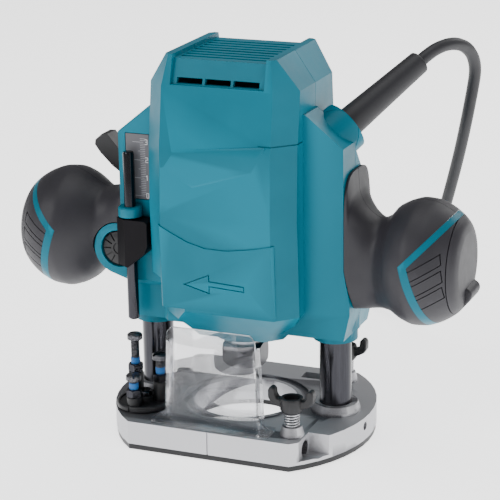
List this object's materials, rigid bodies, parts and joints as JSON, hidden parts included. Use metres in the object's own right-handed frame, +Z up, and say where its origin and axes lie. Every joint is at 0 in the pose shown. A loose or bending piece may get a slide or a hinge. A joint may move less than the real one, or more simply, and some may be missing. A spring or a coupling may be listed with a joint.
{
  "type": "plunge router",
  "caption": "Compact two-handed plunge router: motor head on spring columns over a round-ended cast base, knob handles, depth stop turret and clear chip guard.",
  "frame": {"origin": "on the floor under the spindle axis, middle of the base", "axes": "+Z up along the spindle, -Y is the front with the chip guard, +X towards the handle beside the cord"},
  "size_m": [0.2608, 0.3164, 0.215],
  "materials": {
    "teal_plastic": "moulded, fine satin texture",
    "soft_grip": "soft-touch overmould",
    "black_plastic": "moulded",
    "cast_aluminium": "shot-blasted casting with milled edges",
    "steel": "bright",
    "dark_steel": "dark, ground",
    "clear_plastic": "clear, slightly smoked",
    "grey_plastic": "printed scale",
    "copper": "turned",
    "carbon": "pressed carbon",
    "cord_rubber": "matt moulded"
  },
  "bodies": {
    "base": {"base_casting": "cast_aluminium", "sole_plate": "black_plastic", "column_left": "dark_steel", "column_right": "dark_steel", "column_spring_left": "steel", "column_spring_right": "steel", "chip_guard": "clear_plastic", "turret_screw": "dark_steel", "wing_bolt_spring_front": "steel", "wing_bolt_spring_rear": "steel", "cord": "cord_rubber", "cord_coil": "cord_rubber", "plug": "cord_rubber"},
    "head": {"housing_front": "teal_plastic", "housing_rear": "teal_plastic", "depth_scale": "grey_plastic", "lock_bolt": "dark_steel", "bearing_lower": "steel", "bearing_upper": "steel", "stator": "dark_steel", "switch_body": "black_plastic", "cord_guard": "cord_rubber", "housing_screw_1": "steel", "housing_screw_2": "steel", "housing_screw_3": "steel", "housing_screw_4": "steel", "handle_left_front": "soft_grip", "handle_left_rear": "soft_grip", "handle_left_cap": "soft_grip", "handle_left_stripe": "teal_plastic", "brush_left": "carbon", "brush_holder_left": "black_plastic", "handle_right_front": "soft_grip", "handle_right_rear": "soft_grip", "handle_right_cap": "soft_grip", "handle_right_stripe": "teal_plastic", "brush_right": "carbon", "brush_holder_right": "black_plastic"},
    "turret": {"turret": "black_plastic", "stop_nut_tall": "dark_steel", "stop_nut_short": "dark_steel", "stop_nut_middle": "dark_steel"},
    "spindle": {"shaft": "steel", "rotor": "dark_steel", "commutator": "copper", "fan": "black_plastic", "collet": "steel"},
    "clamp_wheel": {"clamp_wheel": "black_plastic"},
    "collet_nut": {"collet_nut": "dark_steel"},
    "depth_pointer": {"depth_pointer": "black_plastic"},
    "lock_lever": {"lock_lever": "black_plastic"},
    "shaft_lock_button": {"shaft_lock_button": "black_plastic"},
    "stop_bolt_middle": {"stop_bolt_middle": "dark_steel"},
    "stop_bolt_short": {"stop_bolt_short": "dark_steel"},
    "stop_bolt_tall": {"stop_bolt_tall": "dark_steel"},
    "stop_rod": {"stop_rod": "dark_steel"},
    "switch_lever": {"switch_lever": "black_plastic"},
    "wing_bolt_front": {"wing_bolt_front": "black_plastic"},
    "wing_bolt_rear": {"wing_bolt_rear": "black_plastic"}
  },
  "joints": [
    {"name": "plunge", "type": "slide", "parent": "base", "child": "head", "axis": [0, 0, -1], "range_m": [0, 0.035], "stiffness_N_per_m": 600, "springref_m": -0.06, "deforming": ["column_spring_left", "column_spring_right", "cord"]},
    {"name": "stop_rod_slide", "type": "slide", "parent": "head", "child": "stop_rod", "axis": [0, 0, 1], "range_m": [0, 0.0266]},
    {"name": "pointer_slide", "type": "slide", "parent": "head", "child": "depth_pointer", "axis": [0, 0, -1], "range_m": [0, 0.012]},
    {"name": "clamp_wheel_turn", "type": "hinge", "parent": "head", "child": "clamp_wheel", "pos_m": [-0.0668, -0.0155, 0.1015], "axis": [0, -1, 0], "continuous": true},
    {"name": "lock_lever_turn", "type": "hinge", "parent": "head", "child": "lock_lever", "pos_m": [-0.072, 0.016, 0.139], "axis": [-1, 0, 0], "range_deg": [0, 55]},
    {"name": "shaft_lock_press", "type": "slide", "parent": "head", "child": "shaft_lock_button", "axis": [0, -1, 0], "range_m": [0, 0.004], "stiffness_N_per_m": 400, "springref_m": -0.004},
    {"name": "switch_rock", "type": "hinge", "parent": "head", "child": "switch_lever", "pos_m": [0, 0.038, 0.159], "axis": [1, 0, 0], "range_deg": [-8, 8]},
    {"name": "spindle_spin", "type": "hinge", "parent": "head", "child": "spindle", "pos_m": [0, 0, 0.1], "axis": [0, 0, 1], "continuous": true},
    {"name": "collet_nut_turn", "type": "hinge", "parent": "spindle", "child": "collet_nut", "pos_m": [0, 0, 0.043], "axis": [0, 0, 1], "continuous": true},
    {"name": "turret_turn", "type": "hinge", "parent": "base", "child": "turret", "pos_m": [-0.049, -0.03, 0.018], "axis": [0, 0, 1], "continuous": true},
    {"name": "wing_bolt_front_turn", "type": "hinge", "parent": "base", "child": "wing_bolt_front", "pos_m": [0.044, -0.043, 0.034], "axis": [0, 0, 1], "continuous": true},
    {"name": "wing_bolt_rear_turn", "type": "hinge", "parent": "base", "child": "wing_bolt_rear", "pos_m": [0.044, 0.043, 0.034], "axis": [0, 0, 1], "continuous": true},
    {"name": "stop_bolt_tall_turn", "type": "hinge", "parent": "turret", "child": "stop_bolt_tall", "pos_m": [-0.05638, -0.02402, 0.03], "axis": [0, 0, 1], "continuous": true},
    {"name": "stop_bolt_short_turn", "type": "hinge", "parent": "turret", "child": "stop_bolt_short", "pos_m": [-0.05049, -0.03938, 0.03], "axis": [0, 0, 1], "continuous": true},
    {"name": "stop_bolt_middle_turn", "type": "hinge", "parent": "turret", "child": "stop_bolt_middle", "pos_m": [-0.04013, -0.0266, 0.03], "axis": [0, 0, 1], "continuous": true}
  ],
  "couplings": [
    {"joint": "stop_rod_slide", "follows": "plunge", "ratio": 0.757}
  ]
}
